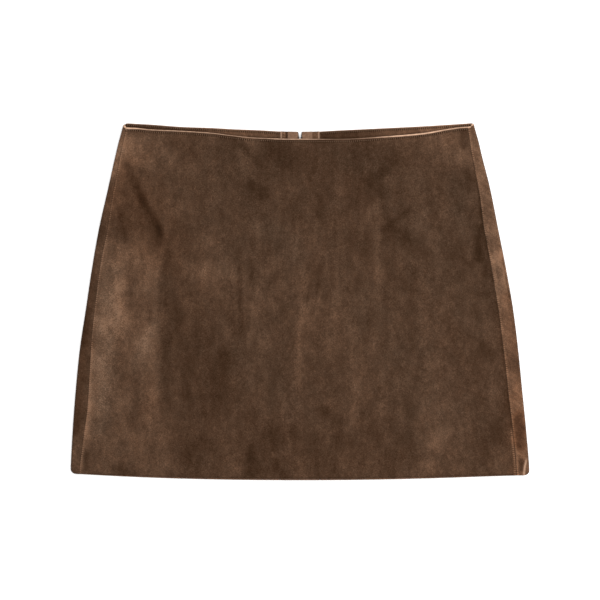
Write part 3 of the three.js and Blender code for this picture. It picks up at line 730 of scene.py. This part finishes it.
# Columns of a back panel: allowance, turn, floor, fold and strip. The facing takes in a little of the fold.
ALLOWANCE_XS = (*between(ALLOWANCE, TAPE_WIDTH, 5), 12.6, 11, 9, 7, 5)
TURN_COLUMNS = 11
NEAR_TURN_XS = (5, 7, 9, 12, 15, 18, 20.9, 21.4, 22.1, 22.9, 24, 27)
NEAR_DART_XS = np.array([-1.6, -0.8, -0.35, 0, 0.35, 0.8, 1.6])
BEFORE_DART = 13
BEYOND_DART = 34
FOLD_STEPS = 14
STRIP_STEPS = 15
FLOOR_FIRST = len(ALLOWANCE_XS) + TURN_COLUMNS
FLOOR_END = FLOOR_FIRST + len(NEAR_TURN_XS) + BEFORE_DART + 1 + len(NEAR_DART_XS) + BEYOND_DART + 1
FACING_COLUMNS = slice(FLOOR_FIRST + 7, FLOOR_END + 2)
TAPE_COLUMNS = slice(5, 13)
FOLD_AND_STRIP = FOLD_STEPS + STRIP_STEPS - 1 + len(EDGE_STEPS)


def slit_corner(side, x):
    """How far the top of the opening's edge is rounded down."""
    drop, width = SLIT_CORNER[side]
    inside = np.clip(1 - x / width, 0, 1)
    return drop * (1 - np.sqrt(1 - inside ** 2))


def back_sections(side):
    """Columns of a back panel, from the edge of its centre allowance to the side seam, as (outer, inner)."""
    turn = curve(OPENING, "below", "half_gap", from_waist(V)) + TURN_RADIUS
    fold_start = row_edge(float(side), V) - FOLD_RADIUS
    seam = np.minimum(seam_edge(float(side), V) + SEAM_HALF, fold_start - 0.2)
    high = 2 * TURN_RADIUS
    outer, inner = [], []

    def put(into, x, y, z, cut=0.0):
        y = y - slit_corner(side, x) * rise(12, 0, from_waist(V))
        y = y - cut * (1 - rise(0, RAW_SLOPE, from_waist(V)))
        into.append(grid(side * x, y, z + pull_lift(side * x, y))[:, 0])

    for x in ALLOWANCE_XS:
        x = x + 0 * V
        y = plane_y("back", side * x, V)
        put(outer, x, y, high + 0 * V)
        put(inner, x, y, high - SUEDE + 0 * V)
    y = plane_y("back", side * turn, V)
    for angle in np.radians(np.linspace(90, -90, TURN_COLUMNS)):
        for into, radius in ((outer, TURN_RADIUS), (inner, TURN_RADIUS - SUEDE)):
            put(into, turn - radius * math.cos(angle), y, TURN_RADIUS + radius * math.sin(angle))
    dart = DART_X[side]
    for x in (*NEAR_TURN_XS, *between(31, dart - 3, BEFORE_DART), *(dart + NEAR_DART_XS)):
        add_floor(put, outer, inner, side, x + 0 * V, dart)
    for share in between(0, 1, BEYOND_DART):
        add_floor(put, outer, inner, side, lerp(dart + 4, fold_start, share), dart)
    for k in range(1, FOLD_STEPS + 1):
        angle = math.pi * (k / FOLD_STEPS - 0.5)
        x = side * (fold_start + FOLD_RADIUS)
        y = lerp(plane_y("back", x, V), plane_y("front", x, V), k / FOLD_STEPS)
        cut = FOLD_CUT[side] * rise(4, 12, k)
        for into, radius, drop in ((outer, FOLD_RADIUS, cut), (inner, FOLD_RADIUS - wall_thickness(V), 0)):
            x = fold_start + radius * math.cos(angle)
            put(into, x, y, FOLD_RADIUS + radius * math.sin(angle), drop)
    width = fold_start - seam
    across = [lerp(EDGE_STEPS[-1], width, share) for share in between(1, 0, STRIP_STEPS)[1:-1]]
    for inward in (*across, *EDGE_STEPS[::-1]):
        inward = np.clip(inward, 0, width)
        x = seam + inward
        y = plane_y("front", side * x, V)
        top = front_top(side * x, y, V)
        z = top - roll(inward, SEAM_ROLL, 0.35 if side < 0 else 0.6)
        z = z + 0.16 * ripple(y, 1.3 + side) * bell(inward / 4)
        put(outer, x, y, z, FOLD_CUT[side])
        put(inner, x, y, top - wall_thickness(V))
    return np.stack(outer, 1), np.stack(inner, 1)


def add_floor(put, outer, inner, side, x, dart):
    """A column of the part that lies on the surface, with the dart's groove."""
    y = plane_y("back", side * x, V)
    along = 1 - rise(DART_LENGTH - 25, DART_LENGTH, from_waist(V))
    groove = DART_GROOVE * bell((x - dart) / 0.5) * along
    thick = np.where(x < ALLOWANCE + 1.3, SUEDE, wall_thickness(V))
    put(outer, x, y, groove)
    put(inner, x, y, thick)


def back_panel(side):
    outer, inner = back_sections(side)
    hem = hem_rows(outer[0], inner[0], 0.0)
    pale = np.full(outer.shape[1], 0.3)
    pale[-FOLD_AND_STRIP + 4:] = 0.95
    middle = (outer[-1] + inner[-1]) / 2
    name = "suede_back_left" if side < 0 else "suede_back_right"
    return shell(name, outer, inner, hem, [middle], raw_waist=pale, raw_sides=(0.55, 0),
                 raw_inner=0.45, look=back_look), outer, inner


# Materials

def material(name, roughness, metallic=0.0):
    made = bpy.data.materials.new(name)
    made.use_nodes = True
    shader = made.node_tree.nodes["Principled BSDF"]
    shader.inputs["Roughness"].default_value = roughness
    shader.inputs["Metallic"].default_value = metallic
    return made, made.node_tree, shader


NODE_SETTINGS = ("operation", "attribute_name", "bands_direction")


def node(tree, kind, **inputs):
    """A new node. Each keyword is a setting or an input, and in0 and in1 are inputs by number."""
    made = tree.nodes.new(kind)
    for key, value in inputs.items():
        if key in NODE_SETTINGS:
            setattr(made, key, value)
            continue
        socket = made.inputs[int(key[2:]) if key.startswith("in") else key]
        if hasattr(value, "is_linked"):
            tree.links.new(value, socket)
        else:
            socket.default_value = value
    return made


def attribute(tree, name):
    return node(tree, "ShaderNodeAttribute", attribute_name=name).outputs["Fac"]


def bumped(tree, shader, strength, distance, height):
    bump = node(tree, "ShaderNodeBump", Strength=strength, Distance=distance, Height=height)
    tree.links.new(bump.outputs["Normal"], shader.inputs["Normal"])


def scaled(colour, gain):
    return tuple(gain * channel for channel in colour)


def noise(tree, vector, scale, detail, distortion=0.0, rough=0.55):
    made = node(tree, "ShaderNodeTexNoise", Vector=vector, Scale=scale, Detail=detail,
                Roughness=rough, Distortion=distortion)
    return made.outputs["Fac"]


def math_node(tree, operation, a, b):
    return node(tree, "ShaderNodeMath", operation=operation, in0=a, in1=b).outputs[0]


def stretched(tree, scale=(1, 1, 1), turn=0.0):
    """Object coordinates, turned about Z and scaled unevenly, for brushed streaks."""
    place = tree.nodes.new("ShaderNodeTexCoord")
    mapping = tree.nodes.new("ShaderNodeMapping")
    mapping.inputs["Rotation"].default_value = (0, 0, math.radians(turn))
    mapping.inputs["Scale"].default_value = scale
    tree.links.new(place.outputs["Object"], mapping.inputs["Vector"])
    return mapping.outputs["Vector"]


def ramp(tree, factor, *stops):
    made = tree.nodes.new("ShaderNodeValToRGB")
    elements = made.color_ramp.elements
    while len(elements) < len(stops):
        elements.new(0.5)
    for element, (position, colour) in zip(elements, stops):
        element.position = position
        element.color = (*colour, 1)
    tree.links.new(factor, made.inputs["Fac"])
    return made.outputs["Color"]


def mixed(tree, blend, factor, first, second):
    """Two colours mixed by a factor that is a number or a socket."""
    made = tree.nodes.new("ShaderNodeMix")
    made.data_type = "RGBA"
    made.blend_type = blend
    if hasattr(factor, "is_linked"):
        tree.links.new(factor, made.inputs["Factor"])
    else:
        made.inputs["Factor"].default_value = factor
    colours = [socket for socket in made.inputs if socket.type == "RGBA"]
    tree.links.new(first, colours[0])
    tree.links.new(second, colours[1])
    return next(socket for socket in made.outputs if socket.type == "RGBA")


# The suede's mottling from large blotches to single tufts: blotches per metre, strength in stops, stretch
MOTTLE = (
    (13, 0.12, (1.3, 0.8, 1)),
    (30, 0.32, (1.35, 0.75, 1)),
    (62, 0.48, (1.3, 0.8, 1)),
    (75, 0.3, (2.0, 0.45, 1)),
    (140, 0.43, (1.2, 0.85, 1)),
    (300, 0.43, (1.1, 0.9, 1)),
    (640, 0.43, (1.2, 0.85, 1)),
    (1150, 1.45, (1, 1, 1)),
)
STOPS_RANGE = 4.0
NAP_TURN = 8

# The brown's hue wanders too: patches per metre and strength, from a cool tint at -1 to a red one at 2
HUE_STRETCH = (1.2, 0.85, 1)
HUE_MOTTLE = ((28, 0.35, HUE_STRETCH), (90, 0.45, HUE_STRETCH), (400, 0.6, HUE_STRETCH))
COOL_TINT = (0.862, 0.936, 1.0)
WARM_TINT = (0.974, 0.896, 0.836)
REDDEST_TINT = (1.0, 0.83, 0.71)
TINT_GAIN = 1.09

# Sewn lines: painted shade in the needle holes and the stitch groove, darkest at whole pitches of X or Y,
# with paler stitches between; in stops at a hole and between two
STITCH_PITCH = 2.3
WAVE_SCALE = math.pi / (10 * STITCH_PITCH * MM)
SEWN = (("sewn_across", "X", -3.8, 0.7), ("sewn_down", "Y", -0.6, 1.9))


def mottled(tree, name, rows):
    """A vertex attribute with noise added to it at several scales."""
    total = attribute(tree, name)
    for scale, amount, stretch in rows:
        fac = noise(tree, stretched(tree, stretch, NAP_TURN), scale, 1.0, 0.25)
        centred = math_node(tree, "SUBTRACT", fac, 0.5)
        total = math_node(tree, "ADD", total, math_node(tree, "MULTIPLY", centred, 2 * amount))
    return total


def hue_tint(tree):
    """Cool to red tint, from the warm attribute and the hue's own mottling."""
    share = math_node(tree, "DIVIDE", math_node(tree, "ADD", mottled(tree, "warm", HUE_MOTTLE), 1.0), 3.0)
    return ramp(tree, share, (0.0, COOL_TINT), (2 / 3, WARM_TINT), (1.0, REDDEST_TINT))


def suede_material():
    made, tree, shader = material("suede", 0.93)
    total = mottled(tree, "nap", MOTTLE)
    for name, direction, dark, light in SEWN:
        wave = node(tree, "ShaderNodeTexWave", Scale=WAVE_SCALE, bands_direction=direction,
                    Vector=stretched(tree))
        holes = math_node(tree, "MULTIPLY", wave.outputs["Fac"], light - dark)
        shade = math_node(tree, "ADD", holes, dark)
        total = math_node(tree, "ADD", total, math_node(tree, "MULTIPLY", attribute(tree, name), shade))
    share = math_node(tree, "ADD", math_node(tree, "DIVIDE", total, STOPS_RANGE), 0.5)
    tones = []
    for place, tone in zip(np.linspace(0, 1, len(SUEDE_TONES)).tolist(), SUEDE_TONES):
        tones.append((place, scaled(tone, TINT_GAIN * 2 ** (STOPS_RANGE * (place - 0.5)))))
    brown = mixed(tree, "MULTIPLY", 1.0, ramp(tree, share, *tones), hue_tint(tree))
    fibre = noise(tree, stretched(tree), 1500, 3)
    tan = ramp(tree, fibre, (0.25, scaled(RAW_TAN, 0.55)), (0.6, RAW_TAN))
    tree.links.new(mixed(tree, "MIX", attribute(tree, "raw"), brown, tan), shader.inputs["Base Color"])
    shader.inputs["Sheen Weight"].default_value = 0.14
    shader.inputs["Sheen Roughness"].default_value = 0.4
    shader.inputs["Sheen Tint"].default_value = (0.9, 0.6, 0.42, 1)
    shader.inputs["Specular IOR Level"].default_value = 0.15
    pile = noise(tree, stretched(tree, (1.4, 0.7, 1), NAP_TURN), 1300, 2)
    grain = noise(tree, stretched(tree), 260, 3, 0.3)
    bumped(tree, shader, 0.6, 0.0006, math_node(tree, "ADD", math_node(tree, "MULTIPLY", pile, 0.5), grain))
    return made


def thread_material():
    made, tree, shader = material("thread", 0.8)
    shader.inputs["Specular IOR Level"].default_value = 0.1
    fibre = noise(tree, stretched(tree), 2600, 2)
    colour = ramp(tree, fibre, (0.3, scaled(THREAD, 0.5)), (0.7, scaled(THREAD, 1.5)))
    tree.links.new(colour, shader.inputs["Base Color"])
    twist = node(tree, "ShaderNodeTexWave", Scale=900, Distortion=1.5, Vector=stretched(tree, turn=40))
    bumped(tree, shader, 0.5, 0.0001, twist.outputs["Fac"])
    return made


def tape_material():
    made, tree, shader = material("zip_tape", 0.85)
    place = stretched(tree, turn=45)
    warp, weft = (node(tree, "ShaderNodeTexWave", Scale=300, Distortion=0.4, bands_direction=direction,
                       Vector=place).outputs["Fac"] for direction in ("X", "Y"))
    weave = math_node(tree, "MULTIPLY", warp, weft)
    speckle = math_node(tree, "ADD", weave, noise(tree, stretched(tree), 620, 2))
    colour = ramp(tree, speckle, (0.35, (0.095, 0.05, 0.03)), (1.0, (0.31, 0.178, 0.11)))
    tree.links.new(colour, shader.inputs["Base Color"])
    shader.inputs["Specular IOR Level"].default_value = 0.15
    bumped(tree, shader, 0.6, 0.0003, weave)
    return made


def enamel_material():
    made, tree, shader = material("zip_enamel", 0.38, 0.35)
    worn = noise(tree, stretched(tree), 420, 4)
    colour = ramp(tree, worn, (0.3, (0.045, 0.028, 0.018)), (0.75, (0.085, 0.055, 0.038)))
    tree.links.new(colour, shader.inputs["Base Color"])
    bumped(tree, shader, 0.15, 0.0001, worn)
    return made


def coil_material():
    made, tree, shader = material("zip_coil", 0.45)
    shade = noise(tree, stretched(tree), 900, 2)
    colour = ramp(tree, shade, (0.3, (0.035, 0.022, 0.015)), (0.7, (0.075, 0.048, 0.033)))
    tree.links.new(colour, shader.inputs["Base Color"])
    return made


FLOOR_GLOW = 0.35
FLOOR_HALF = 14000
FLOOR_Z = -0.3


def floor_material():
    made, tree, shader = material("floor", 0.9)
    shade = noise(tree, stretched(tree), 3, 2)
    colour = ramp(tree, shade, (0.2, (0.93, 0.93, 0.93)), (0.8, (0.95, 0.95, 0.95)))
    tree.links.new(colour, shader.inputs["Base Color"])
    shader.inputs["Specular IOR Level"].default_value = 0.0
    shader.inputs["Emission Color"].default_value = (1, 1, 1, 1)
    shader.inputs["Emission Strength"].default_value = FLOOR_GLOW
    return made


# Pieces

def dress(obj, look, slot, body, *nodes):
    obj.data.materials.clear()
    obj.data.materials.append(look)
    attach(obj, body)
    if nodes:
        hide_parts(*nodes)
    return obj


def row_of_stitches(name, surface, pitch, length, radius, up=1.0, sink=0.0):
    """Stitches along a line of surface points across the skirt, each between two needle holes."""
    line = surface if surface[0, 0] < surface[-1, 0] else surface[::-1]
    first, last = (math.ceil(line[0, 0] / pitch), math.floor(line[-1, 0] / pitch))
    places = (np.arange(first, last) + 0.5) * pitch

    def where(x):
        return np.stack([np.interp(x, line[:, 0], line[:, k]) for k in range(3)], -1)

    centres = where(places) + np.array([0, 0, up * (radius * 0.3 - sink)])
    along = where(places + 0.2) - where(places - 0.2)
    ups = np.tile([0.0, 0.0, up], (len(places), 1))
    return stitches(name, centres, along, ups, length, radius)


def line_on(points, distance):
    """The line on a panel's grid that runs a set distance below its waist edge."""
    v = 1 - distance / PANEL_LENGTH
    k = int(np.clip(np.searchsorted(ROWS, v), 1, len(ROWS) - 1))
    share = (v - ROWS[k - 1]) / (ROWS[k] - ROWS[k - 1])
    return lerp(points[k - 1], points[k], share)


STITCH_LENGTH = 1.6
STITCH_RADIUS = 0.43
UNDER_SINK = 0.12
COIL_PITCH = 1.25
COIL_LENGTH = 2.6
COIL_RADIUS = 0.42
COIL_TOP = 5


def zip_coil(side, tape_top):
    """The moulded coil along the inner edge of a tape: a row of slanted loops."""
    edge = tape_top[:, 0]
    y = np.arange(edge[-1, 1] - ZIP_LENGTH, edge[-1, 1] - COIL_TOP, COIL_PITCH)
    x = np.interp(y, edge[:, 1], edge[:, 0])
    z = np.interp(y, edge[:, 1], edge[:, 2])
    near_slider = bell((y - SLIDER_Y) / 12)
    centres = np.stack([x - side * 0.3, y, z + 0.45 - 0.1 * near_slider], -1)
    along = np.tile([1.0, 0.35 * side, 0.0], (len(y), 1))
    ups = np.tile([0.0, 0.0, 1.0], (len(y), 1))
    name = "zip_coil_left" if side < 0 else "zip_coil_right"
    return stitches(name, centres, along, ups, COIL_LENGTH, COIL_RADIUS)


def smooth_copy(name, source, bevel):
    """A copy of a hard CAD solid with its edges rounded."""
    obj = bpy.data.objects.new(name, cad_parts[source].data.copy())
    bpy.context.scene.collection.objects.link(obj)
    modifier = obj.modifiers.new("round", "BEVEL")
    modifier.width = bevel * MM
    modifier.segments = 2
    modifier.angle_limit = math.radians(35)
    bpy.context.view_layer.update()
    rounded = bpy.data.meshes.new_from_object(obj.evaluated_get(bpy.context.evaluated_depsgraph_get()))
    obj.modifiers.clear()
    obj.data = rounded
    obj.data.shade_smooth()
    obj.data.set_sharp_from_angle(angle=math.radians(40))
    return obj


def sew(name, line, thread, up=1.0, sink=0.0):
    """A row of topstitching on the skirt."""
    rows = row_of_stitches("stitches_" + name, line, STITCH_PITCH, STITCH_LENGTH, STITCH_RADIUS, up, sink)
    dress(rows, thread, "thread", "skirt")


def build_skirt():
    suede = suede_material()
    thread = thread_material()
    tape_look = tape_material()
    enamel = enamel_material()
    coil_look = coil_material()

    front, front_outer, front_inner = front_panel()
    dress(front, suede, "suede", "skirt", "front_panel")
    inside = front_facing(front_inner)
    dress(inside, suede, "suede", "skirt", "front_facing")
    sew("front_waist", line_on(front_outer, WAIST_STITCH), thread)

    for side, word in ((-1, "left"), (1, "right")):
        panel, outer, inner = back_panel(side)
        dress(panel, suede, "suede", "skirt", "back_panel_" + word)
        facing = facing_shell("suede_back_facing_" + word, inner[FACING_ROWS][:, FACING_COLUMNS], False)
        dress(facing, suede, "suede", "skirt", "back_facing_" + word)
        rows = ROWS > 1 - (ZIP_LENGTH + 12) / PANEL_LENGTH
        under = outer[rows][:, TAPE_COLUMNS][:, ::-1]
        tape = shell("zip_tape_cloth_" + word, raised(under, SEAM_GAP + TAPE), raised(under, SEAM_GAP),
                     (), [raised(under[-1], SEAM_GAP + TAPE / 2)])
        dress(tape, tape_look, "zip_tape", "skirt", "zip_tape_" + word)
        dress(zip_coil(side, raised(under, SEAM_GAP + TAPE)), coil_look, "zip_coil", "skirt")
        facing_line = line_on(raised(inner[:, FACING_COLUMNS], SEAM_GAP + FACING), FACING_STITCH)
        sew("back_facing_" + word, facing_line, thread)
        under_line = line_on(outer[:, FLOOR_FIRST + 1:FLOOR_END - 1], FACING_STITCH)
        sew("back_waist_" + word, under_line, thread, -1.0, UNDER_SINK)

    dress(smooth_copy("slider_body", "zip_slider", 0.15), enamel, "zip_metal", "skirt", "zip_slider")
    dress(smooth_copy("slider_pull", "zip_pull", 0.16), enamel, "zip_metal", "pull", "zip_pull")
    dress(smooth_copy("bottom_stop", "zip_stop", 0.2), enamel, "zip_metal", "skirt", "zip_stop")


# Light, floor and camera

CAMERA_HEIGHT = 2.0
FRAME_WIDTH = 0.66
SENSOR = 36.0
WORLD_LIGHT = 0.35
PHOTO_CENTRE = (0.0, 0.00165)


def area_light(name, place, size, power):
    """A round soft light that faces the origin, in metres and watts."""
    data = bpy.data.lights.new(name, "AREA")
    data.shape = "DISK"
    data.size = size
    data.energy = power
    obj = bpy.data.objects.new(name, data)
    bpy.context.scene.collection.objects.link(obj)
    obj.location = place
    obj.rotation_euler = (-obj.location).to_track_quat("-Z", "Y").to_euler()


def studio():
    scene = bpy.context.scene
    corners = [(x * FLOOR_HALF, y * FLOOR_HALF, FLOOR_Z) for x, y in ((-1, -1), (1, -1), (1, 1), (-1, 1))]
    floor = mesh_object("floor", corners, [[0, 1, 2, 3]])
    floor.data.materials.append(floor_material())
    area_light("key", (1.5, 0.6, 1.3), 1.2, 19)
    area_light("fill", (0.2, -0.1, 2.6), 2.6, 47)
    world = bpy.data.worlds.new("studio")
    world.use_nodes = True
    background = world.node_tree.nodes["Background"]
    background.inputs["Color"].default_value = (1, 1, 1, 1)
    background.inputs["Strength"].default_value = WORLD_LIGHT
    scene.world = world
    scene.view_settings.view_transform = "Standard"

    data = bpy.data.cameras.new("camera")
    data.sensor_width = SENSOR
    data.lens = SENSOR * CAMERA_HEIGHT / FRAME_WIDTH
    camera = bpy.data.objects.new("camera", data)
    scene.collection.objects.link(camera)
    camera.location = (*PHOTO_CENTRE, CAMERA_HEIGHT)
    scene.camera = camera


studio()
build_skirt()
